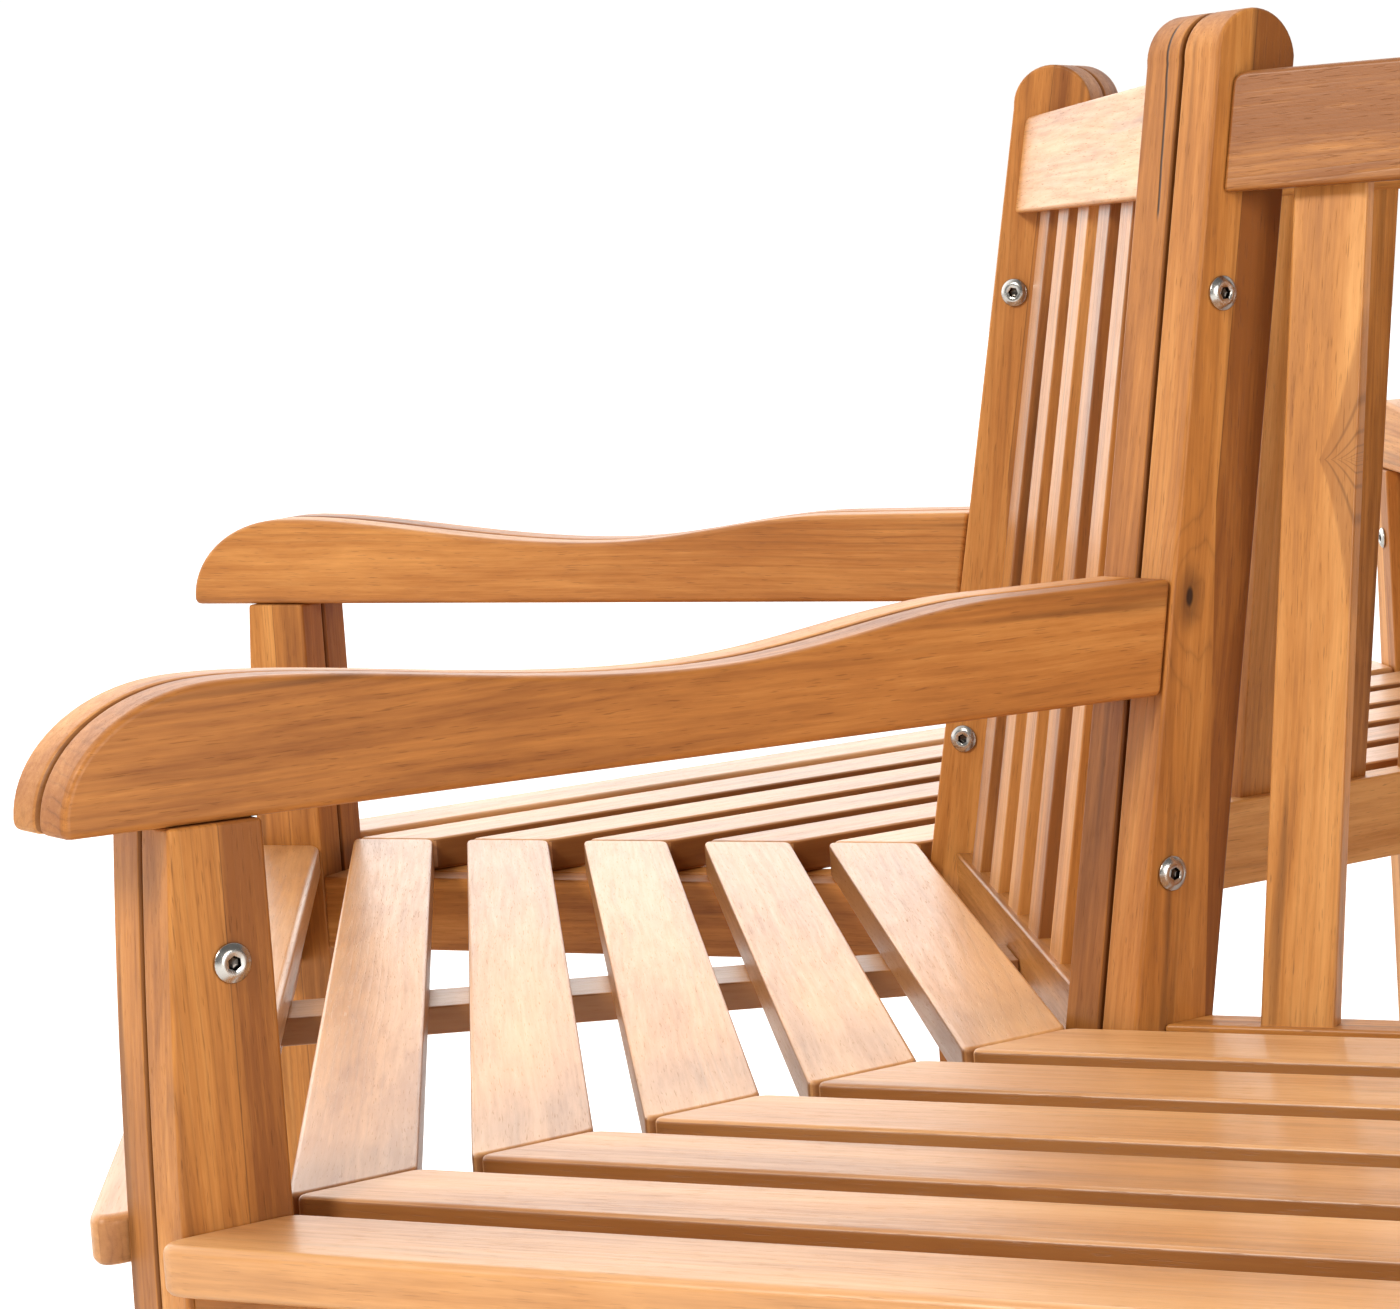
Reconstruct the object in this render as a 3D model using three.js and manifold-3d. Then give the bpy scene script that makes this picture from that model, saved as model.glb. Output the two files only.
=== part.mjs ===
// Six-sided wrap-around garden bench: six outward-facing sections bolted back to back at mitred corners.
// Millimetres, +Z up, origin on the ground at the centre of the ring, section a faces -Y.
import * as THREE from 'three';
import { mergeVertices } from 'three/addons/utils/BufferGeometryUtils.js';
import Module from 'manifold-3d';

const wasm = await Module();
wasm.setup();

// Ring
const SECTION_NAMES = ['a', 'b', 'c', 'd', 'e', 'f'];
const SIDE = 602;                           // inner edge of the seat, corner to corner
const TURN = (2 * Math.PI) / SECTION_NAMES.length;
const HALF_TURN = TURN / 2;
const APOTHEM = SIDE / 2 / Math.tan(HALF_TURN);
const SEAT_Z = 435;                         // top of the seat slats
const MITRE_GAP = 1.2;                      // from a mitre plane to the end frame on either side of it
const SLAT_GAP = 0.6;                       // from a mitre plane to the ends of the seat slats
const TOUCH = 0.3;                          // gap kept between pieces that touch
const EASE = 1.6;                           // size of the eased edges

// End frames: r is measured outwards along the mitre from the seat's inner corner, z from the seat top
const FRAME_THICK = 25.6;
const FRAME_FACE = MITRE_GAP + FRAME_THICK;
const ARM_THICK = 24.6;
const POST_DEPTH = 50;
const POST_FRONT = -21;                     // front of the post at seat level
const POST_RAKE = 0.186;                    // backward lean above the bend, per mm of height
const POST_BEND_Z = -20;
const POST_SHOULDER_Z = 459;                // where the round top starts
const POST_TOP_RISE = 24;
const LEG_BACK = 433.5;
const LEG_FRONT_TOP = 476.5;
const LEG_FRONT = 486;
const LEG_CURVE_Z = -60;                    // the front of the leg is straight below this
const RAIL_TOP = -22;
const RAIL_HEIGHT = 50;

// Armrest
const ARM_BASE_BACK_Z = 157.5;
const ARM_BASE_NOSE_Z = 167.5;
const ARM_NOSE = 521.5;
const ARM_NOSE_CORNER = 4;
const ARM_CREST = new THREE.Vector2(448, 224);
const ARM_DIP = new THREE.Vector2(200, 201.3);
const ARM_SHOULDER = new THREE.Vector2(40, 214.2);
const ARM_END_Z = 212.6;

// Seat: d is measured outwards from the inner edge of the seat, square to the section
const SLAT_THICK = 22;
const SLAT_WIDTH = 54.5;
const SLAT_PITCH = 78;
const SLAT_COUNT = 5;
const SLAT_CORNER = 5;
const FRONT_SLAT_WIDTH = 60;
const FRONT_SLAT_NEAR_CORNER = 8;
const FRONT_SLAT_CORNER = 20;
const FRONT_SLAT_EASE = 4;
const BEARER_WIDTH = 52;
const BEARER_HEIGHT = 16;
const BEARER_OFFSET = -20;
const BEARER_BITE = 0.5;                    // how far the bearer is let into the slats
const APRON_BACK = 408;
const APRON_THICK = 24;
const APRON_HEIGHT = 60;

// Back
const BACK_RAKE = POST_RAKE * Math.cos(HALF_TURN);
const LOWER_RAIL_FRONT = -19.5;
const LOWER_RAIL_THICK = 25.5;
const LOWER_RAIL_TOP = -1.5;
const LOWER_RAIL_HEIGHT = 57;
const TOP_RAIL_FRONT = -12.5;
const TOP_RAIL_THICK = 25;
const TOP_RAIL_BASE = 395;
const TOP_RAIL_TOP = 452.5;
const TOP_RAIL_CORNER = 7;
const BACK_SLAT_COUNT = 6;
const BACK_SLAT_WIDTH = 36.6;
const BACK_SLAT_THICK = 12.5;
const BACK_SLAT_FRONT = -23.5;
const BACK_SLAT_PITCH = 77.2;
const BACK_SLAT_FAN = 0.0183;               // how much the pitch closes per mm of height
const TENON = 4;

// Connector bolts
const BOLTS = [
  { name: 'leg', r: 453, z: 108 },
  { name: 'post_lower', r: -48.5, z: 71 },
  { name: 'post_upper', r: -100.5, z: 347 },
];
const BOLT_SIDES = 10;
const SHANK_RADIUS = 4;
const HOLE_RADIUS = 4.6;
const HEAD_RADIUS = 8.5;
const HEAD_CROWN_RADIUS = 6.2;
const HEAD_RIM = 1.4;
const HEAD_HEIGHT = 3;
const SOCKET_RADIUS = 3.2;
const SOCKET_DEPTH = 2.4;

const teak = (color) => new THREE.MeshStandardMaterial({ color, roughness: 0.62, metalness: 0 });
const frameTeak = teak(0xc8884f);
const armTeak = teak(0xbd7d45);
const seatTeak = teak(0xd9a273);
const backTeak = teak(0xcb8d55);
const apronTeak = teak(0xc48246);
const steel = new THREE.MeshStandardMaterial({ color: 0xb9b6b0, roughness: 0.3, metalness: 1 });

// ---- solids ----

function toSolid(geometry) {
  const bare = geometry.clone();
  bare.deleteAttribute('normal');
  bare.deleteAttribute('uv');
  const merged = mergeVertices(bare, 1e-4);
  return new wasm.Manifold(new wasm.Mesh({
    numProp: 3,
    vertProperties: new Float32Array(merged.attributes.position.array),
    triVerts: new Uint32Array(merged.index.array),
  }));
}

function toGeometry(solid) {
  const mesh = solid.getMesh();
  const geometry = new THREE.BufferGeometry();
  geometry.setAttribute('position', new THREE.BufferAttribute(new Float32Array(mesh.vertProperties), 3));
  geometry.setIndex(new THREE.BufferAttribute(new Uint32Array(mesh.triVerts), 1));
  const faceted = geometry.toNonIndexed();
  faceted.computeVertexNormals();
  return faceted;
}

function joinSolids(geometries) {
  return geometries.map(toSolid).reduce((sum, solid) => sum.add(solid));
}

// Extrudes an outline with eased edges on both faces, keeping the outline's own size.
function easedPlate(outline, thickness, ease = EASE, curveSegments = 5) {
  const plate = new THREE.ExtrudeGeometry(outline, {
    depth: thickness - 2 * ease,
    bevelEnabled: true,
    bevelThickness: ease,
    bevelSize: ease,
    bevelOffset: -ease,
    bevelSegments: 1,
    curveSegments,
  });
  plate.translate(0, 0, ease);
  return plate;
}

// A profile drawn as (r, z) becomes a plate standing in the mitre plane, its thickness along +Y.
function standInMitre(plate, thickness, side) {
  plate.rotateX(Math.PI / 2);
  const nearFace = side > 0 ? MITRE_GAP + thickness : -MITRE_GAP;
  plate.translate(SIDE, nearFace, SEAT_Z);
  return plate;
}

// A plan outline drawn as (x, d) becomes a level board whose top is at height z above the seat.
function layLevel(plate, top) {
  plate.scale(1, -1, -1);
  plate.translate(0, -APOTHEM, SEAT_Z + top);
  return plate;
}

function halfLength(d, clearance) {
  return (APOTHEM + d) * Math.tan(HALF_TURN) - clearance / Math.cos(HALF_TURN);
}

// ---- end frames ----

function legOutline() {
  const top = (r) => armBase(r) - TOUCH;
  const leg = new THREE.Shape();
  leg.moveTo(LEG_BACK, -SEAT_Z);
  leg.lineTo(LEG_FRONT, -SEAT_Z);
  leg.lineTo(LEG_FRONT, LEG_CURVE_Z);
  leg.quadraticCurveTo(LEG_FRONT - 1, 60, LEG_FRONT_TOP, top(LEG_FRONT_TOP));
  leg.lineTo(LEG_BACK, top(LEG_BACK));
  leg.closePath();
  return leg;
}

function postFront(z) {
  return POST_FRONT - POST_RAKE * Math.max(z, POST_BEND_Z);
}

function postOutline() {
  const middle = postFront(POST_SHOULDER_Z) - POST_DEPTH / 2;
  const post = new THREE.Shape();
  post.moveTo(postFront(-SEAT_Z) - POST_DEPTH, -SEAT_Z);
  post.lineTo(postFront(-SEAT_Z), -SEAT_Z);
  post.lineTo(postFront(POST_BEND_Z), POST_BEND_Z);
  post.lineTo(postFront(POST_SHOULDER_Z), POST_SHOULDER_Z);
  post.absellipse(middle, POST_SHOULDER_Z, POST_DEPTH / 2, POST_TOP_RISE, 0, Math.PI, false, 0);
  post.lineTo(postFront(POST_BEND_Z) - POST_DEPTH, POST_BEND_Z);
  post.closePath();
  return post;
}

function railOutline() {
  const bite = EASE + 1;
  const rail = new THREE.Shape();
  const back = postFront(RAIL_TOP) - bite;
  rail.moveTo(back, RAIL_TOP - TOUCH - RAIL_HEIGHT);
  rail.lineTo(LEG_BACK + bite, RAIL_TOP - TOUCH - RAIL_HEIGHT);
  rail.lineTo(LEG_BACK + bite, RAIL_TOP - TOUCH);
  rail.lineTo(back, RAIL_TOP - TOUCH);
  rail.closePath();
  return rail;
}

function boltHole(bolt) {
  const hole = new THREE.CylinderGeometry(HOLE_RADIUS, HOLE_RADIUS, 4 * FRAME_THICK, BOLT_SIDES);
  return hole.translate(SIDE + bolt.r, 0, SEAT_Z + bolt.z);
}

function endFrame(side) {
  const plates = [legOutline(), postOutline(), railOutline()];
  const standing = plates.map((outline) => standInMitre(easedPlate(outline, FRAME_THICK), FRAME_THICK, side));
  const holes = BOLTS.map((bolt) => toSolid(boltHole(bolt)));
  return toGeometry(holes.reduce((frame, hole) => frame.subtract(hole), joinSolids(standing)));
}

// ---- armrests ----

function armBase(r) {
  const along = (r - POST_FRONT) / (ARM_NOSE - POST_FRONT);
  return ARM_BASE_BACK_Z + along * (ARM_BASE_NOSE_Z - ARM_BASE_BACK_Z);
}

function armOutline() {
  const arm = new THREE.Shape();
  arm.moveTo(postFront(ARM_BASE_BACK_Z) + TOUCH, armBase(postFront(ARM_BASE_BACK_Z)));
  arm.lineTo(ARM_NOSE - ARM_NOSE_CORNER, armBase(ARM_NOSE));
  arm.quadraticCurveTo(ARM_NOSE, armBase(ARM_NOSE), ARM_NOSE, armBase(ARM_NOSE) + ARM_NOSE_CORNER);
  arm.bezierCurveTo(ARM_NOSE - 1, 200, ARM_CREST.x + 42, ARM_CREST.y, ARM_CREST.x, ARM_CREST.y);
  arm.bezierCurveTo(ARM_CREST.x - 63, ARM_CREST.y, ARM_DIP.x + 90, ARM_DIP.y, ARM_DIP.x, ARM_DIP.y);
  arm.bezierCurveTo(ARM_DIP.x - 60, ARM_DIP.y, ARM_SHOULDER.x + 55, ARM_SHOULDER.y,
    ARM_SHOULDER.x, ARM_SHOULDER.y);
  arm.lineTo(postFront(ARM_END_Z) + TOUCH, ARM_END_Z);
  arm.closePath();
  return arm;
}

function armrest(side) {
  return standInMitre(easedPlate(armOutline(), ARM_THICK, 2.5, 6), ARM_THICK, side);
}

// ---- seat ----

// A board with mitred ends between depths near and far; its plan corners may be rounded.
function mitredOutline(near, far, clearance, nearCorner, farCorner) {
  const corners = [
    [-halfLength(near, clearance), near, nearCorner],
    [halfLength(near, clearance), near, nearCorner],
    [halfLength(far, clearance), far, farCorner],
    [-halfLength(far, clearance), far, farCorner],
  ];
  const points = corners.map(([x, d]) => new THREE.Vector2(x, d));
  const outline = new THREE.Shape();
  corners.forEach(([, , radius], i) => {
    const here = points[i];
    const before = points[(i + 3) % 4];
    const after = points[(i + 1) % 4];
    const enter = here.clone().add(before.clone().sub(here).setLength(radius));
    const leave = here.clone().add(after.clone().sub(here).setLength(radius));
    if (i === 0) outline.moveTo(enter.x, enter.y);
    else outline.lineTo(enter.x, enter.y);
    if (radius > 0) outline.quadraticCurveTo(here.x, here.y, leave.x, leave.y);
  });
  outline.closePath();
  return outline;
}

function seatSlat(index) {
  const near = index * SLAT_PITCH;
  const outline = mitredOutline(near, near + SLAT_WIDTH, SLAT_GAP, SLAT_CORNER, SLAT_CORNER);
  return layLevel(easedPlate(outline, SLAT_THICK, EASE, 1), 0);
}

function frontSlat() {
  const near = SLAT_COUNT * SLAT_PITCH;
  const far = near + FRONT_SLAT_WIDTH;
  const outline = mitredOutline(near, far, FRAME_FACE + TOUCH, FRONT_SLAT_NEAR_CORNER, FRONT_SLAT_CORNER);
  return layLevel(easedPlate(outline, SLAT_THICK, FRONT_SLAT_EASE, 2), 0);
}

function bearer() {
  const height = BEARER_HEIGHT + BEARER_BITE;
  const front = APRON_BACK - TOUCH;
  const back = LOWER_RAIL_FRONT + TOUCH;
  const board = new THREE.BoxGeometry(BEARER_WIDTH, front - back, height);
  const middleZ = SEAT_Z - SLAT_THICK + BEARER_BITE - height / 2;
  return board.translate(BEARER_OFFSET, -APOTHEM - (front + back) / 2, middleZ);
}

function seatPanel() {
  const slats = Array.from({ length: SLAT_COUNT }, (_, i) => seatSlat(i));
  return toGeometry(joinSolids([...slats, frontSlat(), bearer()]));
}

function apron() {
  const outline = mitredOutline(APRON_BACK, APRON_BACK + APRON_THICK, FRAME_FACE + TOUCH, 0, 0);
  return layLevel(easedPlate(outline, APRON_HEIGHT, EASE, 1), -SLAT_THICK - TOUCH);
}

// ---- back ----

// Leans a board that was built upright so that its depth grows backwards with height above the seat.
function leanBack(geometry) {
  const lean = new THREE.Matrix4().makeShear(0, 0, 0, 0, 0, BACK_RAKE);
  geometry.translate(0, 0, -SEAT_Z);
  geometry.applyMatrix4(lean);
  return geometry.translate(0, 0, SEAT_Z);
}

function lowerRail() {
  const front = LOWER_RAIL_FRONT;
  const outline = mitredOutline(front - LOWER_RAIL_THICK, front, FRAME_FACE + TOUCH, 0, 0);
  return layLevel(easedPlate(outline, LOWER_RAIL_HEIGHT, EASE, 1), LOWER_RAIL_TOP);
}

// Angles the ends of an upright board, built to its length at depth 0, to run along the mitre planes.
function angleEnds(geometry) {
  const position = geometry.attributes.position;
  for (let i = 0; i < position.count; i += 1) {
    const d = -position.getY(i) - APOTHEM;
    const shift = Math.sign(position.getX(i)) * d * Math.tan(HALF_TURN);
    position.setX(i, position.getX(i) + shift);
  }
  return geometry;
}

// The elevation outline is drawn as (x, z); its ends follow the leaning posts.
function topRail() {
  const halfAt = (z) => halfLength(-BACK_RAKE * z, FRAME_FACE + TOUCH);
  const outline = new THREE.Shape();
  outline.moveTo(-halfAt(TOP_RAIL_BASE), TOP_RAIL_BASE);
  outline.lineTo(halfAt(TOP_RAIL_BASE), TOP_RAIL_BASE);
  outline.lineTo(halfAt(TOP_RAIL_TOP - TOP_RAIL_CORNER), TOP_RAIL_TOP - TOP_RAIL_CORNER);
  outline.quadraticCurveTo(halfAt(TOP_RAIL_TOP), TOP_RAIL_TOP,
    halfAt(TOP_RAIL_TOP) - TOP_RAIL_CORNER, TOP_RAIL_TOP);
  outline.lineTo(TOP_RAIL_CORNER - halfAt(TOP_RAIL_TOP), TOP_RAIL_TOP);
  outline.quadraticCurveTo(-halfAt(TOP_RAIL_TOP), TOP_RAIL_TOP,
    -halfAt(TOP_RAIL_TOP - TOP_RAIL_CORNER), TOP_RAIL_TOP - TOP_RAIL_CORNER);
  outline.closePath();
  const rail = easedPlate(outline, TOP_RAIL_THICK, EASE, 3);
  rail.rotateX(Math.PI / 2);
  rail.translate(0, TOP_RAIL_THICK - APOTHEM - TOP_RAIL_FRONT, SEAT_Z);
  return leanBack(angleEnds(rail));
}

function backSlat(index) {
  const step = index - (BACK_SLAT_COUNT - 1) / 2;
  const middleAt = (z) => step * (BACK_SLAT_PITCH - BACK_SLAT_FAN * z);
  const base = LOWER_RAIL_TOP - TENON;
  const top = TOP_RAIL_BASE + TENON;
  const half = BACK_SLAT_WIDTH / 2;
  const outline = new THREE.Shape();
  outline.moveTo(middleAt(base) - half, base);
  outline.lineTo(middleAt(base) + half, base);
  outline.lineTo(middleAt(top) + half, top);
  outline.lineTo(middleAt(top) - half, top);
  outline.closePath();
  const slat = easedPlate(outline, BACK_SLAT_THICK, 1.2, 1);
  slat.rotateX(Math.PI / 2);
  slat.translate(0, BACK_SLAT_THICK - APOTHEM - BACK_SLAT_FRONT, SEAT_Z);
  return leanBack(slat);
}

function backPanel() {
  const slats = Array.from({ length: BACK_SLAT_COUNT }, (_, i) => backSlat(i));
  return toGeometry(joinSolids([lowerRail(), topRail(), ...slats]));
}

// ---- connector bolts ----

// Turned about Y through the doubled frames, with a flanged head at one end and a cap nut at the other.
function connectorBolt(bolt) {
  const seat = FRAME_FACE + TOUCH;
  const outer = seat + HEAD_HEIGHT;
  const profile = [
    [0, -outer],
    [HEAD_CROWN_RADIUS, -outer],
    [HEAD_RADIUS, -seat - HEAD_RIM],
    [HEAD_RADIUS, -seat],
    [SHANK_RADIUS, -seat],
    [SHANK_RADIUS, seat],
    [HEAD_RADIUS, seat],
    [HEAD_RADIUS, seat + HEAD_RIM],
    [HEAD_CROWN_RADIUS, outer],
    [0, outer],
  ].map(([radius, along]) => new THREE.Vector2(radius, along));
  const body = toSolid(new THREE.LatheGeometry(profile, BOLT_SIDES));
  const socket = new THREE.CylinderGeometry(SOCKET_RADIUS, SOCKET_RADIUS, 2 * SOCKET_DEPTH, 6);
  socket.translate(0, outer, 0);
  const geometry = toGeometry(body.subtract(toSolid(socket)));
  return geometry.translate(SIDE + bolt.r, 0, SEAT_Z + bolt.z);
}

// ---- assembly ----

function piece(name, geometry, material) {
  const mesh = new THREE.Mesh(geometry, material);
  mesh.name = name;
  return mesh;
}

const shapes = {
  leftFrame: endFrame(1),
  rightFrame: endFrame(-1),
  leftArm: armrest(1),
  rightArm: armrest(-1),
  seat: seatPanel(),
  apron: apron(),
  back: backPanel(),
  bolts: BOLTS.map(connectorBolt),
};

const LEFT_MITRE = -Math.PI / 2 - HALF_TURN;
const RIGHT_MITRE = -Math.PI / 2 + HALF_TURN;

// The left end carries the section's connector bolts; its right end is bolted to the section before it.
function leftEnd(name) {
  const end = new THREE.Group();
  end.rotation.z = LEFT_MITRE;
  end.add(piece(`end_frame_left_${name}`, shapes.leftFrame, frameTeak));
  end.add(piece(`armrest_left_${name}`, shapes.leftArm, armTeak));
  BOLTS.forEach((bolt, i) => end.add(piece(`bolt_${bolt.name}_${name}`, shapes.bolts[i], steel)));
  return end;
}

function rightEnd(name) {
  const end = new THREE.Group();
  end.rotation.z = RIGHT_MITRE;
  end.add(piece(`end_frame_right_${name}`, shapes.rightFrame, frameTeak));
  end.add(piece(`armrest_right_${name}`, shapes.rightArm, armTeak));
  return end;
}

function section(name, index) {
  const group = new THREE.Group();
  group.rotation.z = -index * TURN;
  group.add(leftEnd(name));
  group.add(rightEnd(name));
  group.add(piece(`seat_${name}`, shapes.seat, seatTeak));
  group.add(piece(`apron_${name}`, shapes.apron, apronTeak));
  group.add(piece(`back_${name}`, shapes.back, backTeak));
  return group;
}

const bench = new THREE.Group();
SECTION_NAMES.forEach((name, index) => bench.add(section(name, index)));

export default bench;
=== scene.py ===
import math
import random
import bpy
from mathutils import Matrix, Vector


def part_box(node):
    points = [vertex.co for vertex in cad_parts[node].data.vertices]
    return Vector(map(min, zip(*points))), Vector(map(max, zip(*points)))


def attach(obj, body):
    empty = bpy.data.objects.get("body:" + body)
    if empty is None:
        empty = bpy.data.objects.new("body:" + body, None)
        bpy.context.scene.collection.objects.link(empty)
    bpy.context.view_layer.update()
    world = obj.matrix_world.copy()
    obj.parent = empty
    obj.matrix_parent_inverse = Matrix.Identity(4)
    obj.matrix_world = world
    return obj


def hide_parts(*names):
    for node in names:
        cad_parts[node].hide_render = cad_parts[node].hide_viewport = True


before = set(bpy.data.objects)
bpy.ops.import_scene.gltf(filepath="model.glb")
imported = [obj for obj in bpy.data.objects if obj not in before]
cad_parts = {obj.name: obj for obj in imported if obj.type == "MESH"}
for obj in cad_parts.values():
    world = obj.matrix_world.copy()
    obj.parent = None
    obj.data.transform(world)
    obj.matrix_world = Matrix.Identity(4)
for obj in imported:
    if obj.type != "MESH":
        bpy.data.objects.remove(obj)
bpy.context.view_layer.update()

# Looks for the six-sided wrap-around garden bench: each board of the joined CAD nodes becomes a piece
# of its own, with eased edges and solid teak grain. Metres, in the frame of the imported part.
from types import SimpleNamespace

import bmesh
import bpy
from mathutils import Matrix, Vector

rng = random.Random(20261)

# ---- sizes and places, as in the CAD part ----
SECTIONS = "abcdef"
TURN = math.radians(60)
HALF_TURN = TURN / 2
MITRE_GAP = 0.0012
SLAT_GAP = 0.0006
TOUCH = 0.0003
FRAME_THICK = 0.0256
FRAME_FACE = MITRE_GAP + FRAME_THICK
ARM_THICK = 0.0246
APRON_BACK, APRON_FRONT, APRON_HEIGHT = 0.408, 0.432, 0.060
SLAT_THICK, SLAT_WIDTH, SLAT_PITCH, SLAT_COUNT = 0.022, 0.0545, 0.078, 5
FRONT_SLAT_WIDTH = 0.060
FRONT_SLAT_CORNER, FRONT_SLAT_POINT_CORNER = 0.008, 0.020
BEARER_WIDTH, BEARER_HEIGHT, BEARER_OFFSET = 0.052, 0.016, -0.020
LEG_BACK, LEG_FRONT, LEG_FRONT_TOP, LEG_CURVE_Z = 0.4335, 0.486, 0.4765, -0.060
POST_DEPTH, POST_FRONT, POST_RAKE = 0.050, -0.021, 0.186
POST_BEND_Z, POST_SHOULDER_Z, POST_TOP_RISE = -0.020, 0.459, 0.024
RAIL_TOP, RAIL_HEIGHT = -0.022, 0.050
ARM_NOSE, ARM_BASE_BACK, ARM_BASE_NOSE = 0.5215, 0.1575, 0.1675
ARM_CREST, ARM_DIP, ARM_SHOULDER, ARM_END_Z = (0.448, 0.224), (0.200, 0.2013), (0.040, 0.2142), 0.2126
BACK_RAKE = POST_RAKE * math.cos(HALF_TURN)
LOWER_FRONT, LOWER_THICK, LOWER_TOP, LOWER_HEIGHT = -0.0195, 0.0255, -0.0015, 0.057
TOP_FRONT, TOP_THICK, TOP_BASE, TOP_TOP, TOP_CORNER = -0.0125, 0.025, 0.395, 0.4525, 0.007
BACK_SLAT_COUNT, BACK_SLAT_WIDTH, BACK_SLAT_THICK = 6, 0.0366, 0.0125
BACK_SLAT_FRONT, BACK_SLAT_PITCH, BACK_SLAT_FAN = -0.0235, 0.0772, 0.0183
TENON = 0.004
BOLTS = {"leg": (0.453, 0.108), "post_lower": (-0.0485, 0.071), "post_upper": (-0.1005, 0.347)}
HEAD_RADIUS, HEAD_HEIGHT, SHANK_RADIUS = 0.0085, 0.003, 0.004
SOCKET_RADIUS = 0.0032

# ---- sizes of the finished pieces, which are a little rounder than the CAD's ----
# Each corner leaves room for the edge that runs round it.
SLAT_CORNER, SLAT_POINT_CORNER, ARM_NOSE_CORNER = 0.0065, 0.0092, 0.005
LEG_EASE, POST_EASE, RAIL_EASE, ARM_EASE = 0.0018, 0.0019, 0.0016, 0.0034
SLAT_EASE, FRONT_SLAT_EASE, BEARER_EASE, APRON_EASE = 0.0025, 0.0044, 0.0012, 0.0018
TOP_RAIL_EASE, LOWER_RAIL_EASE, BACK_SLAT_EASE = 0.0026, 0.0018, 0.0014
SHARP_ANGLE = 0.6
SOCKET_DEPTH = 0.0022

SEAT_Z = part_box("seat_a")[1].z
APOTHEM = -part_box("apron_a")[1].y - APRON_BACK
SIDE = 2 * APOTHEM * math.tan(HALF_TURN)
FLOOR_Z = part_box("end_frame_left_a")[0].z - SEAT_Z


# ---- node materials ----


class Graph:
    """Adds nodes to one material, so that a pattern reads as a formula."""

    def __init__(self, name):
        self.material = bpy.data.materials.new(name)
        self.material.use_nodes = True
        self.tree = self.material.node_tree
        self.tree.nodes.clear()

    def add(self, kind, inputs=(), **settings):
        made = self.tree.nodes.new("ShaderNode" + kind)
        for key, value in settings.items():
            setattr(made, key, value)
        for key, value in dict(inputs).items():
            if isinstance(value, bpy.types.NodeSocket):
                self.tree.links.new(value, made.inputs[key])
            elif value is not None:
                made.inputs[key].default_value = value
        return made

    def math(self, operation, a, b=None, c=None):
        return self.add("Math", {0: a, 1: b, 2: c}, operation=operation).outputs[0]

    def times(self, a, b):
        return self.math("MULTIPLY", a, b)

    def times_plus(self, a, b, c):
        return self.math("MULTIPLY_ADD", a, b, c)

    def size(self, a):
        return self.math("ABSOLUTE", a)

    def split(self, vector):
        return self.add("SeparateXYZ", {0: vector}).outputs

    def vector(self, operation, a, b=None, output=0):
        return self.add("VectorMath", {0: a, 1: b}, operation=operation).outputs[output]

    def scaled(self, vector, x, y, z):
        return self.vector("MULTIPLY", vector, (x, y, z))

    def noise(self, vector, scale=1.0, detail=2.0, rough=0.5, output=0):
        inputs = {"Vector": vector, "Scale": scale, "Detail": detail, "Roughness": rough}
        return self.add("TexNoise", inputs, noise_dimensions="3D").outputs[output]

    def smooth(self, value, low, high, to_low=0.0, to_high=1.0):
        inputs = {"Value": value, 1: low, 2: high, 3: to_low, 4: to_high}
        return self.add("MapRange", inputs, interpolation_type="SMOOTHSTEP").outputs[0]

    def linear(self, value, low, high):
        return self.add("MapRange", {"Value": value, 1: low, 2: high}).outputs[0]

    def ramp(self, value, stops):
        made = self.add("ValToRGB", {0: value})
        band = made.color_ramp
        while len(band.elements) < len(stops):
            band.elements.new(0.5)
        for element, (place, colour) in zip(band.elements, stops):
            element.position = place
            element.color = (*colour, 1)
        return made.outputs[0]

    def mix(self, share, a, b):
        made = self.add("Mix", data_type="RGBA", clamp_factor=True)
        for slot, value in ((0, share), (6, a), (7, b)):
            if isinstance(value, bpy.types.NodeSocket):
                self.tree.links.new(value, made.inputs[slot])
            elif slot == 0:
                made.inputs[slot].default_value = value
            else:
                made.inputs[slot].default_value = (*value, 1)
        return made.outputs[2]

    def read(self, name, output="Vector"):
        return self.add("Attribute", attribute_type="GEOMETRY", attribute_name=name).outputs[output]

    def finished(self, shader):
        """Sends the shader to the output, and returns the material."""
        self.tree.links.new(shader.outputs[0], self.add("OutputMaterial").inputs[0])
        return self.material


def srgb(*channels):
    """A colour given as 0-255 display values, as linear light."""
    shares = [channel / 255 for channel in channels]
    return tuple(c / 12.92 if c <= 0.04045 else ((c + 0.055) / 1.055) ** 2.4 for c in shares)


def dimmed(colour, share):
    return tuple(share * c for c in colour)


def palette(pale, mid, deep, line):
    return SimpleNamespace(pale=srgb(*pale), mid=srgb(*mid), deep=srgb(*deep), line=srgb(*line))


RING_PITCH = 0.0046
STAIN = srgb(206, 140, 72)


def read_board(g):
    """What each board stores in its mesh: its grain, and the places of its marks."""
    wood = SimpleNamespace(raw=g.read("grain"), seam=g.read("seam", "Fac"), tone=g.read("tone", "Fac"))
    wood.knot, wood.core = g.read("knot"), g.read("core", "Fac")
    wood.check = g.split(g.read("check"))
    # The face layer holds the eased edges (painted highlight), end grain, and painted shade with shelter from
    # the weather.
    wood.eased, wood.sawn, wood.sheltered = g.split(g.read("face"))
    # A glued strip has grain of its own beyond the seam.
    wood.strip = g.math("GREATER_THAN", 0.0, wood.seam)
    shift = g.add("VectorMath", {0: (0.61, 0.017, 0.023), "Scale": wood.strip}, operation="SCALE").outputs[0]
    wood.grain = g.vector("ADD", wood.raw, shift)
    return wood


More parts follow.
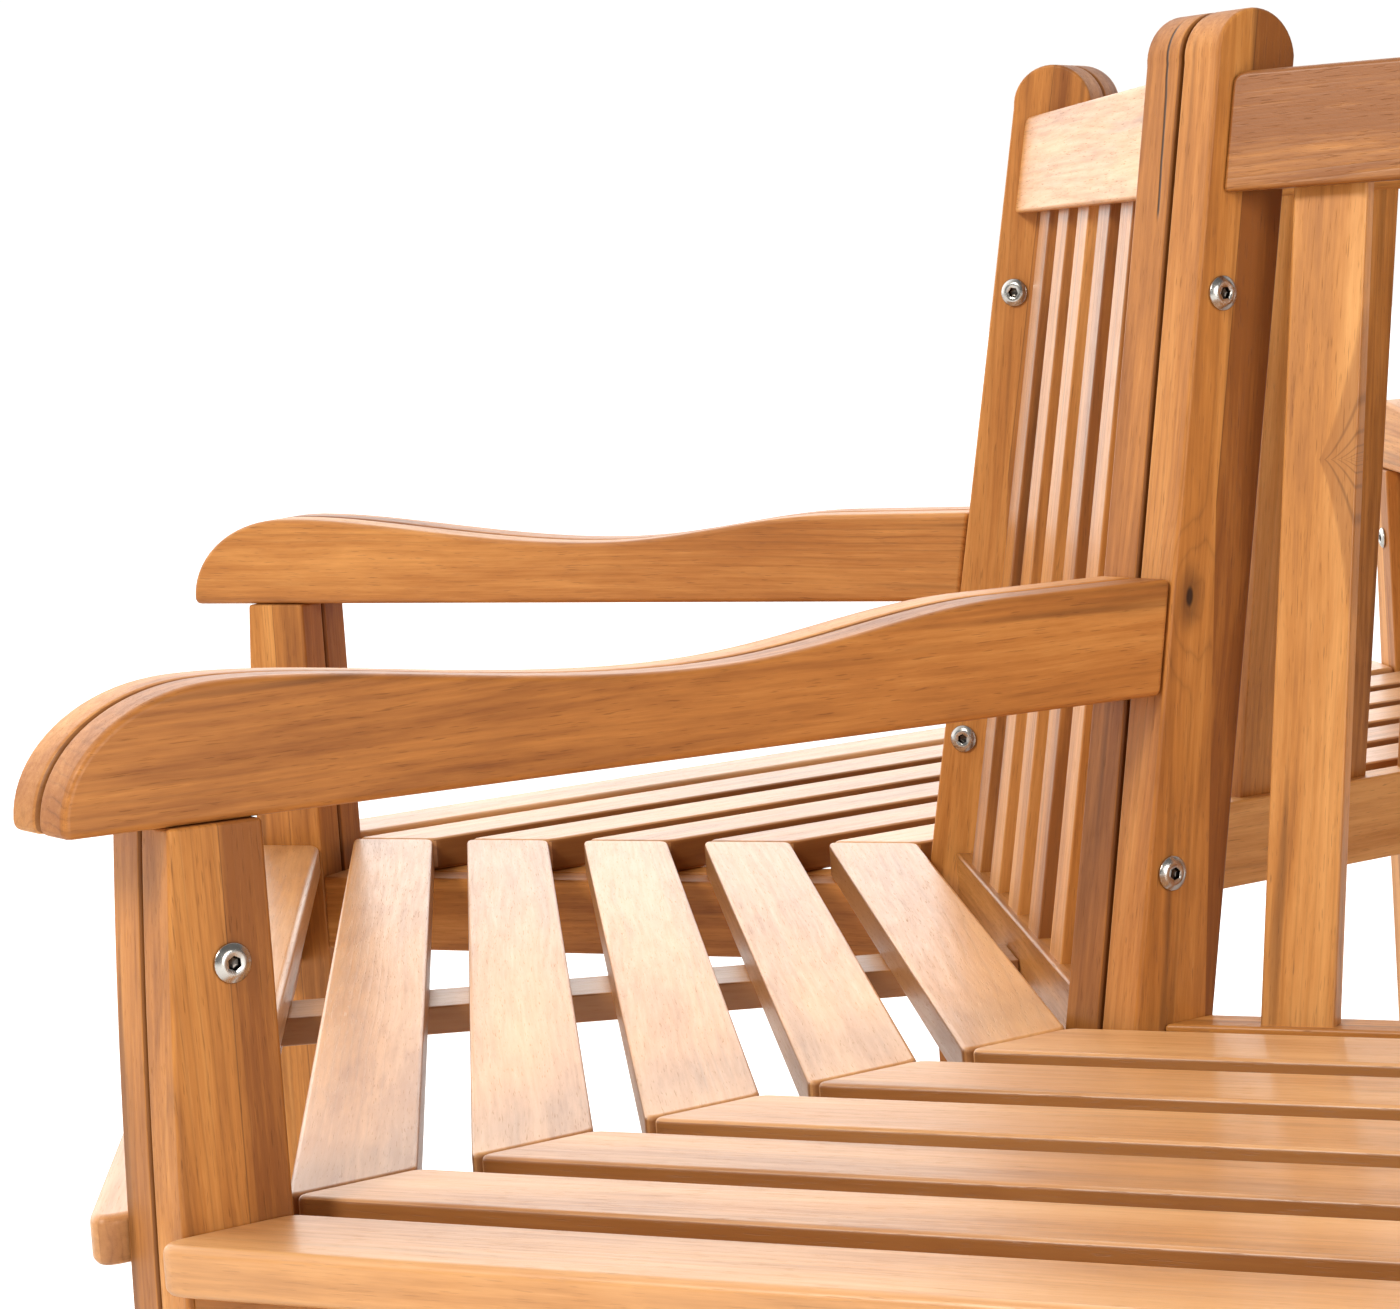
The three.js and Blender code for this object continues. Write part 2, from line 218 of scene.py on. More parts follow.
def grow_rings(g, wood):
    """Growth rings round the pith. The fibres wander a little, and flow round a knot."""
    wander = g.noise(g.scaled(wood.grain, 2.2, 9, 9), 1.0, 3.0, 0.5, output=1)
    wander = g.vector("SUBTRACT", wander, (0.5, 0.5, 0.5))
    wood.bent = g.vector("ADD", wood.grain, g.scaled(wander, 0.0, 0.016, 0.016))
    wood.knot_distance = g.vector("LENGTH", g.scaled(wood.knot, 0.45, 1, 1), output=1)
    knot_pull = g.smooth(wood.knot_distance, g.times_plus(wood.core, -0.020, 0.045), 0.0, 0.0, 0.012)
    wood.uneven = g.noise(g.scaled(wood.grain, 0.5, 60, 60), 1.0, 2.0)
    radial = g.vector("LENGTH", g.scaled(wood.bent, 0, 1, 1), output=1)
    radial = g.times_plus(wood.uneven, 0.0085, g.math("ADD", radial, knot_pull))
    phase = g.math("FRACT", g.math("DIVIDE", radial, RING_PITCH))
    ring = g.math("POWER", g.size(g.times_plus(phase, 2.0, -1.0)), 5.0)
    strength = g.smooth(g.noise(g.scaled(wood.grain, 0.8, 26, 26), 1.0, 1.0), 0.42, 0.72, 0.0, 0.8)
    near_knot = g.times(g.smooth(wood.knot_distance, 0.10, 0.02, 0.0, 0.8), wood.core)
    wood.ring = g.times(ring, g.math("MAXIMUM", strength, near_knot))


def wood_colour(g, wood, colours, weathered):
    """Broad bands, patches and fine fibres, with rings and streaks drawn over them."""
    wood.fibre = g.noise(g.scaled(wood.bent, 11, 330, 330), 1.0, 5.0, 0.68)
    wood.pore = g.smooth(g.noise(g.scaled(wood.bent, 75, 1700, 1700), 1.0, 1.0), 0.63, 0.74)
    band = g.noise(g.scaled(wood.bent, 0.9, 34, 34), 1.0, 3.0, 0.55)
    patch = g.noise(g.scaled(wood.grain, 2.4, 14, 14), 1.0, 2.0, 0.5)
    mottle = g.noise(g.scaled(wood.bent, 22, 110, 110), 1.0, 3.0, 0.6)
    streak = g.smooth(g.noise(g.scaled(wood.bent, 1.6, 75, 75), 1.0, 2.0, 0.6), 0.60, 0.74)
    blend = g.times_plus(band, 1.15, g.times(wood.fibre, 0.66))
    blend = g.times_plus(mottle, 0.34, blend)
    blend = g.times_plus(patch, 0.80, blend)
    blend = g.math("ADD", blend, wood.tone)
    blend = g.times_plus(wood.strip, 0.22, blend)
    stops = [(0.0, colours.pale), (0.48, colours.mid), (1.0, colours.deep)]
    colour = g.ramp(g.linear(blend, 1.12, 1.83), stops)
    colour = g.mix(g.times(wood.ring, 0.30), colour, colours.line)
    return g.mix(g.times(streak, 0.50 - 0.8 * weathered), colour, colours.line)


def draw_swirl(g, wood, colour, colours):
    """On one side of a swirl's middle the grain turns dark, in nested lines that open along the board."""
    along, across, _ = g.split(wood.knot)
    spread = g.times_plus(g.math("POWER", g.size(along), 0.75), 0.135, 0.0040)
    fan = g.times_plus(wood.uneven, 0.40, g.math("DIVIDE", across, spread))
    zone = g.times(g.smooth(fan, -0.74, -0.92), g.smooth(g.size(along), 0.20, 0.08))
    zone = g.times(zone, g.math("SUBTRACT", 1.0, wood.core))
    lines = g.smooth(g.size(g.math("SINE", g.times(fan, 4.2))), 0.55, 0.05)
    colour = g.mix(g.times(zone, 0.50), colour, colours.deep)
    return g.mix(g.times(g.times(zone, lines), 0.42), colour, colours.line)


def draw_marks(g, wood, colour, colours):
    """Knots, drying checks and glue lines are dark and narrow."""
    knot_core = g.smooth(wood.knot_distance, 0.0030, 0.0017)
    knot_halo = g.smooth(wood.knot_distance, 0.010, 0.003, 0.0, 0.55)
    colour = g.mix(g.times(knot_halo, wood.core), colour, colours.line)
    colour = g.mix(g.times(knot_core, g.times(wood.core, 0.9)), colour, dimmed(colours.line, 0.16))
    sway = g.times_plus(g.noise(g.scaled(wood.raw, 16, 0, 0), 1.0, 3.0), 0.004, -0.002)
    crack = g.smooth(g.size(g.math("ADD", wood.check[1], sway)), 0.0012, 0.0004)
    wood.crack = g.times(crack, g.smooth(g.size(wood.check[0]), 1.0, 0.85))
    colour = g.mix(g.times(wood.crack, 0.88), colour, dimmed(colours.line, 0.12))
    glue = g.smooth(g.size(wood.seam), 0.00045, 0.0001, 0.0, 0.45)
    return g.mix(glue, colour, dimmed(colours.line, 0.5))


def weather(g, wood, colour, colours, weathered):
    """Sun and rain bleach a board in clouds, and leave a few warm stains."""
    cloud = g.noise(g.scaled(wood.grain, 9, 30, 30), 1.0, 4.0, 0.6)
    # Faces with painted shade are kept from bleaching too, as they are sheltered.
    bleached = g.times(g.smooth(cloud, 0.30, 0.62, 0.1, weathered), g.math("SUBTRACT", 1.0, wood.sheltered))
    colour = g.mix(bleached, colour, tuple(0.06 + 0.9 * c for c in colours.pale))
    stain = g.smooth(g.noise(g.scaled(wood.grain, 5, 16, 16), 1.0, 3.0, 0.6), 0.60, 0.76, 0.0, 0.45)
    return g.mix(stain, colour, STAIN)


def tint_sides(g, wood, colour, colours):
    """Eased edges are paler, a painted highlight. Sawn ends are darker, as end grain is, and sides in a gap
    get painted shade.
    """
    # Eased edges are lightened towards the pale colour: a painted highlight along the rounded edges.
    colour = g.mix(g.times(wood.eased, 0.22), colour, colours.pale)
    colour = g.mix(g.times(wood.sawn, 0.50), colour, colours.deep)
    colour = g.mix(g.times(wood.sawn, g.times(wood.ring, 0.5)), colour, colours.line)
    # Sides in a gap and the bearer darken towards a dimmed deep colour: painted shade.
    return g.mix(g.times(wood.sheltered, 0.72), colour, dimmed(colours.deep, 0.72))


def teak(name, colours, roughness, specular, weathered=0.0):
    """Solid teak, with a grain that runs through each board."""
    g = Graph(name)
    wood = read_board(g)
    grow_rings(g, wood)
    colour = wood_colour(g, wood, colours, weathered)
    colour = draw_swirl(g, wood, colour, colours)
    colour = g.mix(g.times(wood.pore, 0.34 - 0.3 * weathered), colour, dimmed(colours.line, 0.7))
    colour = draw_marks(g, wood, colour, colours)
    if weathered:
        colour = weather(g, wood, colour, colours, weathered)
    colour = tint_sides(g, wood, colour, colours)

    rough = g.times_plus(wood.fibre, 0.22, roughness - 0.11)
    rough = g.times_plus(wood.pore, 0.18, rough)
    rough = g.times_plus(wood.sawn, 0.15, rough)
    height = g.times_plus(wood.fibre, 0.6, g.times(wood.pore, -0.6))
    height = g.times_plus(wood.ring, -0.30, height)
    height = g.times_plus(wood.crack, -3.0, height)
    bump = g.add("Bump", {"Strength": 0.35, "Distance": 0.0004, "Height": height}).outputs[0]
    return g.finished(g.add("BsdfPrincipled", {"Base Color": colour, "Roughness": rough, "Normal": bump,
                                               "Specular IOR Level": specular}))


def stainless(name):
    """Turned stainless steel with fine scratches and a few dull patches, and sockets painted near black as
    painted shade.
    """
    g = Graph(name)
    place = g.add("TexCoord").outputs["Object"]
    scratch = g.noise(g.scaled(place, 900, 2600, 900), 1.0, 3.0)
    patch = g.noise(place, 160.0, 2.0)
    colour = g.ramp(patch, [(0.3, (0.44, 0.42, 0.39)), (0.7, (0.62, 0.60, 0.57))])
    # The inside of each socket is painted near black: painted shade in the recess.
    colour = g.mix(g.times(g.read("socket_shade", "Fac"), 0.92), colour, (0.035, 0.026, 0.02))
    rough = g.times_plus(scratch, 0.16, g.times_plus(patch, 0.12, 0.10))
    bump = g.add("Bump", {"Strength": 0.12, "Distance": 0.0001, "Height": scratch}).outputs[0]
    return g.finished(g.add("BsdfPrincipled", {"Base Color": colour, "Metallic": 1.0, "Roughness": rough,
                                               "Normal": bump}))


FRAME_COLOURS = palette((214, 150, 80), (184, 119, 54), (136, 79, 30), (78, 42, 16))
ARM_COLOURS = palette((214, 150, 80), (182, 117, 54), (134, 77, 30), (76, 40, 15))
SEAT_COLOURS = palette((220, 166, 108), (196, 137, 80), (150, 94, 46), (96, 54, 25))
BACK_COLOURS = palette((218, 158, 92), (190, 127, 62), (140, 84, 35), (84, 46, 18))
APRON_COLOURS = palette((208, 148, 80), (178, 115, 53), (136, 80, 33), (86, 48, 18))
TEAK = {
    "frame_teak": teak("frame_teak", FRAME_COLOURS, 0.48, 0.32),
    "arm_teak": teak("arm_teak", ARM_COLOURS, 0.44, 0.36),
    "seat_teak": teak("seat_teak", SEAT_COLOURS, 0.34, 0.5, weathered=0.30),
    "back_teak": teak("back_teak", BACK_COLOURS, 0.38, 0.4),
    "apron_teak": teak("apron_teak", APRON_COLOURS, 0.46, 0.34),
}
STEEL = stainless("stainless")


# ---- outlines and boards ----


def bezier(points, count):
    """Points along a quadratic or cubic curve, without its first point."""
    made = []
    for step in range(1, count + 1):
        t = step / count
        level = [Vector(p) for p in points]
        while len(level) > 1:
            level = [a.lerp(b, t) for a, b in zip(level, level[1:])]
        made.append(tuple(level[0]))
    return made


def half_length(d, clearance):
    return (APOTHEM + d) * math.tan(HALF_TURN) - clearance / math.cos(HALF_TURN)


def post_front(z):
    return POST_FRONT - POST_RAKE * max(z, POST_BEND_Z)


def arm_base(r):
    share = (r - POST_FRONT) / (ARM_NOSE - POST_FRONT)
    return ARM_BASE_BACK + share * (ARM_BASE_NOSE - ARM_BASE_BACK)


def leg_outline():
    top = arm_base(LEG_FRONT_TOP) - TOUCH
    front = bezier([(LEG_FRONT, LEG_CURVE_Z), (LEG_FRONT - 0.001, 0.06), (LEG_FRONT_TOP, top)], 14)
    return [(LEG_BACK, FLOOR_Z), (LEG_FRONT, FLOOR_Z), (LEG_FRONT, LEG_CURVE_Z), *front,
            (LEG_BACK, arm_base(LEG_BACK) - TOUCH)]


def post_outline():
    """A raked post with a domed top."""
    front, radius, steps = post_front(POST_SHOULDER_Z), POST_DEPTH / 2, 24
    dome = []
    for step in range(1, steps):
        angle = math.pi * step / steps
        depth = front - radius + radius * math.cos(angle)
        dome.append((depth, POST_SHOULDER_Z + POST_TOP_RISE * math.sin(angle)))
    return [(post_front(FLOOR_Z) - POST_DEPTH, FLOOR_Z), (post_front(FLOOR_Z), FLOOR_Z),
            (post_front(POST_BEND_Z), POST_BEND_Z), (front, POST_SHOULDER_Z), *dome,
            (front - POST_DEPTH, POST_SHOULDER_Z), (post_front(POST_BEND_Z) - POST_DEPTH, POST_BEND_Z)]


def rail_outline():
    low, high = RAIL_TOP - TOUCH - RAIL_HEIGHT, RAIL_TOP - TOUCH
    back = post_front(FLOOR_Z)
    return [(back, low), (LEG_BACK, low), (LEG_BACK, high), (back, high)]


def arm_outline():
    """A straight base, a rounded nose, and a top that rises, dips and rises again towards the post."""
    back, nose_z = post_front(ARM_BASE_BACK) + TOUCH, arm_base(ARM_NOSE)
    crest, dip, shoulder = ARM_CREST, ARM_DIP, ARM_SHOULDER
    outline = [(back, arm_base(back)), (ARM_NOSE - ARM_NOSE_CORNER, nose_z)]
    nose = (ARM_NOSE, nose_z + ARM_NOSE_CORNER)
    outline += bezier([outline[-1], (ARM_NOSE, nose_z), nose], 4)
    outline += bezier([nose, (ARM_NOSE - 0.001, 0.200), (crest[0] + 0.042, crest[1]), crest], 20)
    outline += bezier([crest, (crest[0] - 0.063, crest[1]), (dip[0] + 0.090, dip[1]), dip], 26)
    outline += bezier([dip, (dip[0] - 0.060, dip[1]), (shoulder[0] + 0.055, shoulder[1]), shoulder], 18)
    return outline + [(post_front(ARM_END_Z) + TOUCH, ARM_END_Z)]


def mitred_outline(near, far, clearance, near_corner, far_corner):
    """A plan outline (x, d) with ends on the mitres; its corners may be rounded."""
    near_x, far_x = half_length(near, clearance), half_length(far, clearance)
    corners = [(-near_x, near, near_corner), (near_x, near, near_corner),
               (far_x, far, far_corner), (-far_x, far, far_corner)]
    outline = []
    for i, (x, d, radius) in enumerate(corners):
        here = Vector((x, d))
        before, after = (Vector(corners[(i + k) % 4][:2]) for k in (3, 1))
        if radius <= 0:
            outline.append((x, d))
            continue
        enter = here + (before - here).normalized() * radius
        leave = here + (after - here).normalized() * radius
        outline.append(tuple(enter))
        outline += bezier([enter, here, leave], 6)
    return outline


def prism(outline, thickness):
    mesh = bmesh.new()
    low = [mesh.verts.new((u, v, 0.0)) for u, v in outline]
    high = [mesh.verts.new((u, v, thickness)) for u, v in outline]
    mesh.faces.new(list(reversed(low)))
    mesh.faces.new(high)
    for i in range(len(outline)):
        j = (i + 1) % len(outline)
        mesh.faces.new((low[i], low[j], high[j], high[i]))
    bmesh.ops.recalc_face_normals(mesh, faces=mesh.faces)
    return mesh


def ease_edges(mesh, width, segments):
    """Rounds every sharp edge, and returns the new faces."""
    sharp = [e for e in mesh.edges if e.calc_face_angle(0) > SHARP_ANGLE]
    done = bmesh.ops.bevel(mesh, geom=sharp, offset=width, offset_type="OFFSET", segments=segments,
                           profile=0.5, affect="EDGES", clamp_overlap=False)
    return set(done["faces"])


# Boards whose tone is given one by one. The rest vary at random.
TONES = {"top_rail_a": 0.30, "top_rail_b": -0.15, "arm_left_a": 0.04, "arm_left_b": -0.12, "leg_left_a": 0.0,
         "post_left_a": 0.08, "post_right_b": 0.20, "front_slat_a": 0.02, "back_slat_1_a": -0.10}
FAR_AWAY = Vector((9, 9, 9))

# How each board was sawn from its log, at random: the angles of its grain in degrees, and its pith.
GRAIN_LEAN, GRAIN_TWIST = 2, 1
PITH_ALONG, PITH_ACROSS, PITH_NEAR, PITH_FAR = 30, 0.05, 0.02, 0.10
TONE_RANGE = 0.16

# Grain directions in the plane of an outline.
ALONG_U, ALONG_V, ALONG_POST, ALONG_ARM = (1, 0), (0, 1), (-0.16, 1), (1, 0.02)

# From these shares of a face's normal on, it counts as end grain or a broad side, and as facing a gap that
# gets painted shade.
BROAD_SHARE, GAP_SHARE = 0.4, 0.55
# End grain starts to show at a share of SAWN_START / SAWN_GAIN.
SAWN_GAIN, SAWN_START = 2.6, 1.5


def sawn_from_log():
    """The turn of a board's grain, and the place of the pith that its rings go round."""
    lean = Matrix.Rotation(math.radians(rng.uniform(-GRAIN_LEAN, GRAIN_LEAN)), 3, "Y")
    lean = lean @ Matrix.Rotation(math.radians(rng.uniform(-GRAIN_TWIST, GRAIN_TWIST)), 3, "Z")
    along, across = rng.uniform(0, PITH_ALONG), rng.uniform(-PITH_ACROSS, PITH_ACROSS)
    depth = rng.choice((-1, 1)) * rng.uniform(PITH_NEAR, PITH_FAR)
    return lean, Vector((along, across, depth))


class Board:
    """One board, cut as a prism along w from an outline in (u, v), with its grain direction in that plane.

    seam(u, v, w) is below zero beyond a glue line. A knot is a place in the grain, and with core 0 it is a
    swirl. check(u, v, w) gives the place along a check, from -1 to 1, and the distance from it. The shelter
    pair gives, for the narrow sides and for the rest, how far a face gets painted shade, as in a gap between
    boards, and is kept from the weather. The last argument is 1 or -1 where the side at high or low w faces
    a mitre gap; that side gets full painted shade.
    """

    def __init__(self, outline, thickness, along, ease, segments=3, seam=None, knot=None, core=1.0,
                 check=None, shelter=(0.0, 0.0), shaded_gap_side=0):
        self.mesh = prism(outline, thickness)
        rounded = ease_edges(self.mesh, ease, segments)
        along = Vector(along).normalized()
        across = Vector((-along.y, along.x))
        layers = self.mesh.verts.layers
        grain, knots, checks = (layers.float_vector.new(n) for n in ("grain", "knot", "check"))
        seams, tones, cores = (layers.float.new(n) for n in ("seam", "tone", "core"))
        lean, pith = sawn_from_log()
        tone = rng.uniform(-TONE_RANGE, TONE_RANGE)
        for vertex in self.mesh.verts:
            u, v, w = vertex.co
            place = Vector((along.dot((u, v)), across.dot((u, v)), w))
            vertex[grain] = lean @ place + pith
            vertex[cores] = core
            vertex[seams] = seam(u, v, w) if seam else 1.0
            vertex[knots] = place - Vector(knot) if knot else FAR_AWAY
            vertex[checks] = check(u, v, w) if check else FAR_AWAY
            vertex[tones] = tone
        self.mark_faces(along, rounded, shelter, shaded_gap_side)

    def mark_faces(self, along, rounded, shelter, shaded_gap_side):
        """Stores for each face whether it is eased (painted highlight), how far it is end grain, and its
        painted shade and shelter from weather.
        """
        layer = self.mesh.faces.layers.float_vector.new("face")
        for face in self.mesh.faces:
            face.smooth = True
            end = abs(face.normal.x * along.x + face.normal.y * along.y)
            narrow = max(end, abs(face.normal.z)) < BROAD_SHARE
            sheltered = shelter[0] if narrow else shelter[1]
            # A side that faces a mitre gap gets full painted shade.
            if face.normal.z * shaded_gap_side > GAP_SHARE:
                sheltered = 1.0
            sawn = min(1.0, max(0.0, SAWN_GAIN * end - SAWN_START))
            face[layer] = (1.0 if face in rounded else 0.0, sawn, sheltered)

    def moved(self, change):
        """Moves each vertex by a function of its place."""
        for vertex in self.mesh.verts:
            vertex.co = change(vertex.co)
        return self

    def placed(self, name, matrix, slot, *nodes):
        """Makes the piece that stands for the CAD nodes."""
        self.mesh.transform(matrix)
        if name in TONES:
            tones = self.mesh.verts.layers.float["tone"]
            for vertex in self.mesh.verts:
                vertex[tones] = TONES[name]
        data = bpy.data.meshes.new(name)
        self.mesh.to_mesh(data)
        self.mesh.free()
        data.materials.append(TEAK[slot])
        show(name, data, nodes)


def show(name, data, nodes):
    piece = bpy.data.objects.new(name, data)
    bpy.context.scene.collection.objects.link(piece)
    normals = piece.modifiers.new("Normals", "WEIGHTED_NORMAL")
    normals.weight = 60
    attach(piece, "root")
    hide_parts(*nodes)


# ---- placing ----

ROOT = Matrix.Translation((0, -APOTHEM, SEAT_Z))
LEVEL = Matrix(((1, 0, 0, 0), (0, -1, 0, 0), (0, 0, -1, 0), (0, 0, 0, 1)))
UPRIGHT = Matrix(((1, 0, 0, 0), (0, 0, -1, 0), (0, 1, 0, 0), (0, 0, 0, 1)))


def turned(index):
    return Matrix.Rotation(-index * TURN, 4, "Z")


def level_board(index, top):
    """From a plan outline (x, d) to the section, the board's top at height top above the seat."""
    return turned(index) @ ROOT @ Matrix.Translation((0, 0, top)) @ LEVEL


def mitre_plate(index, side, thickness):
    """From an outline (r, z) to the section's left (1) or right (-1) end, in the mitre plane."""
    angle = -math.pi / 2 - side * HALF_TURN
    near = MITRE_GAP + thickness if side > 0 else -MITRE_GAP
    place = Matrix.Translation((SIDE, near, SEAT_Z))
    return turned(index) @ Matrix.Rotation(angle, 4, "Z") @ place @ UPRIGHT


# ---- one section ----


POST_KNOT = (0.2114, 0.0368, 0.001)
SWIRL_HEIGHT, SWIRL_OFFSET = 0.67, -0.004
CHECK_Z, CHECK_HALF_LENGTH, CHECK_FOOT_Z, CHECK_RISE, CHECK_REACH = 0.432, 0.05, 0.384, 0.084, 0.009


def post_check(u, v, w):
    """A drying check that leaves the mitre side of a post and climbs to its top."""
    reach = CHECK_REACH * max(0, (v - CHECK_FOOT_Z) / CHECK_RISE) ** 0.6
    return Vector(((v - CHECK_Z) / CHECK_HALF_LENGTH, w - reach, 0))


def end_frame(name, index, side):
    word = "left" if side > 0 else "right"
    node = f"end_frame_{word}_{name}"
    place = mitre_plate(index, side, FRAME_THICK)
    leg_seam = LEG_BACK + rng.uniform(0.018, 0.024)
    # The side of the leg, and of the post below, that faces the mitre gap gets painted shade.
    leg = Board(leg_outline(), FRAME_THICK, ALONG_V, LEG_EASE, seam=lambda u, v, w: u - leg_seam, shaded_gap_side=side)
    leg.placed(f"leg_{word}_{name}", place, "frame_teak", node)
    marks = {}
    if name == "a" and side > 0:
        marks["knot"] = POST_KNOT
    if name == "b" and side < 0:
        marks["check"] = post_check
    seam_depth = POST_DEPTH * rng.uniform(0.42, 0.58)
    post = Board(post_outline(), FRAME_THICK, ALONG_POST, POST_EASE,
                 seam=lambda u, v, w: u - post_front(v) + seam_depth, shaded_gap_side=side, **marks)
    post.placed(f"post_{word}_{name}", place, "frame_teak", node)
    rail = Board(rail_outline(), FRAME_THICK, ALONG_U, RAIL_EASE)
    rail.placed(f"seat_rail_{word}_{name}", place, "frame_teak", node)


def armrest(name, index, side):
    word = "left" if side > 0 else "right"
    # The side that faces the mitre gap gets painted shade.
    arm = Board(arm_outline(), ARM_THICK, ALONG_ARM, ARM_EASE, segments=5, shaded_gap_side=side)
    place = mitre_plate(index, side, ARM_THICK)
    arm.placed(f"arm_{word}_{name}", place, "arm_teak", f"armrest_{word}_{name}")


def seat(name, index):
    node = f"seat_{name}"
    for slat in range(SLAT_COUNT):
        near = slat * SLAT_PITCH
        outline = mitred_outline(near, near + SLAT_WIDTH, SLAT_GAP, SLAT_CORNER, SLAT_POINT_CORNER)
        # The narrow sides of these slats get painted shade, as in the gaps between them; their broad faces
        # get none.
        board = Board(outline, SLAT_THICK, ALONG_U, SLAT_EASE, segments=6, shelter=(1.0, 0.0))
        board.placed(f"seat_slat_{slat + 1}_{name}", level_board(index, 0), "seat_teak", node)
    near = SLAT_COUNT * SLAT_PITCH
    outline = mitred_outline(near, near + FRONT_SLAT_WIDTH, FRAME_FACE + TOUCH, FRONT_SLAT_CORNER,
                             FRONT_SLAT_POINT_CORNER)
    board = Board(outline, SLAT_THICK, ALONG_U, FRONT_SLAT_EASE, segments=6)
    board.placed(f"front_slat_{name}", level_board(index, 0), "seat_teak", node)
    left, right = BEARER_OFFSET - BEARER_WIDTH / 2, BEARER_OFFSET + BEARER_WIDTH / 2
    front, back = APRON_BACK - TOUCH, LOWER_FRONT + TOUCH
    outline = [(left, back), (right, back), (right, front), (left, front)]
    # The bearer's sides get full painted shade and its top about half, for the shade under the slats.
    board = Board(outline, BEARER_HEIGHT, ALONG_V, BEARER_EASE, segments=2, shelter=(1.0, 0.55))
    board.placed(f"seat_bearer_{name}", level_board(index, -SLAT_THICK), "seat_teak", node)


def apron(name, index):
    outline = mitred_outline(APRON_BACK, APRON_FRONT, FRAME_FACE + TOUCH, 0, 0)
    board = Board(outline, APRON_HEIGHT, ALONG_U, APRON_EASE)
    place = level_board(index, -SLAT_THICK - TOUCH)
    board.placed(f"apron_board_{name}", place, "apron_teak", f"apron_{name}")


def leaned(place):
    return Vector((place.x, place.y + BACK_RAKE * place.z, place.z))


def top_rail(name, index):
    def half_at(z):
        return half_length(-BACK_RAKE * z, FRAME_FACE + TOUCH)

    shoulder = TOP_TOP - TOP_CORNER
    right = bezier([(half_at(shoulder), shoulder), (half_at(TOP_TOP), TOP_TOP),
                    (half_at(TOP_TOP) - TOP_CORNER, TOP_TOP)], 6)
    left = [(-x, z) for x, z in reversed(right)]
    outline = [(-half_at(TOP_BASE), TOP_BASE), (half_at(TOP_BASE), TOP_BASE), (half_at(shoulder), shoulder),
               *right, *left, (-half_at(shoulder), shoulder)]
    board = Board(outline, TOP_THICK, ALONG_U, TOP_RAIL_EASE)

    def angled(place):
        y = TOP_THICK - TOP_FRONT - place.z
        x = place.x - math.copysign(y * math.tan(HALF_TURN), place.x)
        return leaned(Vector((x, y, place.y)))

    board.moved(angled).placed(f"top_rail_{name}", turned(index) @ ROOT, "back_teak", f"back_{name}")


def lower_rail(name, index):
    outline = mitred_outline(LOWER_FRONT - LOWER_THICK, LOWER_FRONT, FRAME_FACE + TOUCH, 0, 0)
    board = Board(outline, LOWER_HEIGHT, ALONG_U, LOWER_RAIL_EASE)
    board.placed(f"lower_rail_{name}", level_board(index, LOWER_TOP), "back_teak", f"back_{name}")


def swirl_at(low_x, high_x, base, top):
    """The place of a swirl two thirds of the way up a back slat, in its grain."""
    along = Vector((high_x - low_x, top - base)).normalized()
    place = Vector((low_x, base)).lerp(Vector((high_x, top)), SWIRL_HEIGHT) + Vector((SWIRL_OFFSET, 0))
    return (along.dot(place), Vector((-along.y, along.x)).dot(place), BACK_SLAT_THICK)


def back_slats(name, index):
    base, top, half = LOWER_TOP - TENON, TOP_BASE + TENON, BACK_SLAT_WIDTH / 2
    for slat in range(BACK_SLAT_COUNT):
        step = slat - (BACK_SLAT_COUNT - 1) / 2
        low_x = step * (BACK_SLAT_PITCH - BACK_SLAT_FAN * base)
        high_x = step * (BACK_SLAT_PITCH - BACK_SLAT_FAN * top)
        outline = [(low_x - half, base), (low_x + half, base), (high_x + half, top), (high_x - half, top)]
        marks = {}
        if name == "a" and slat == 0:
            marks = {"knot": swirl_at(low_x, high_x, base, top), "core": 0.0}
        along = (high_x - low_x, top - base)
        board = Board(outline, BACK_SLAT_THICK, along, BACK_SLAT_EASE, segments=2, **marks)
        board.moved(lambda p: leaned(Vector((p.x, BACK_SLAT_THICK - BACK_SLAT_FRONT - p.z, p.y))))
        board.placed(f"back_slat_{slat + 1}_{name}", turned(index) @ ROOT, "back_teak", f"back_{name}")


def bolt_profile(seat_y):
    """Radius and height of each ring of a shank and its head, as far as the rim of the socket."""
    top = seat_y + HEAD_HEIGHT
    return [(SHANK_RADIUS, 0.0), (SHANK_RADIUS, seat_y), (HEAD_RADIUS - 0.0003, seat_y),
            (HEAD_RADIUS, seat_y + 0.0003), (HEAD_RADIUS, seat_y + 0.0011),
            (HEAD_RADIUS - 0.0004, seat_y + 0.0015), (0.0071, seat_y + 0.0021), (0.0062, seat_y + 0.0027),
            (0.0054, top - 0.0001), (0.0048, top), (0.0041, top - 0.0001)]


def socket_profile(top):
    return [(SOCKET_RADIUS + 0.0001, top - 0.0003), (SOCKET_RADIUS, top - 0.0005),
            (SOCKET_RADIUS, top - SOCKET_DEPTH), (0.0022, top - SOCKET_DEPTH - 0.0004)]


def lathe_rings(mesh, profile, sides, round_count, socket_shade):
    """Rings of a turned piece about Y. After the first round_count they are hexagons, and those past the
    first hexagon get painted shade.
    """
    rings = []
    for number, (radius, along) in enumerate(profile):
        ring = []
        for i in range(sides):
            angle = 2 * math.pi * i / sides
            reach = radius
            if number >= round_count:
                reach = radius * math.cos(math.pi / 6) / math.cos((angle % (math.pi / 3)) - math.pi / 6)
            vertex = mesh.verts.new((reach * math.cos(angle), along, reach * math.sin(angle)))
            vertex[socket_shade] = 1.0 if number > round_count else 0.0
            ring.append(vertex)
        rings.append(ring)
    for a, b in zip(rings, rings[1:]):
        for i in range(sides):
            j = (i + 1) % sides
            mesh.faces.new((a[i], a[j], b[j], b[i]))
    return rings


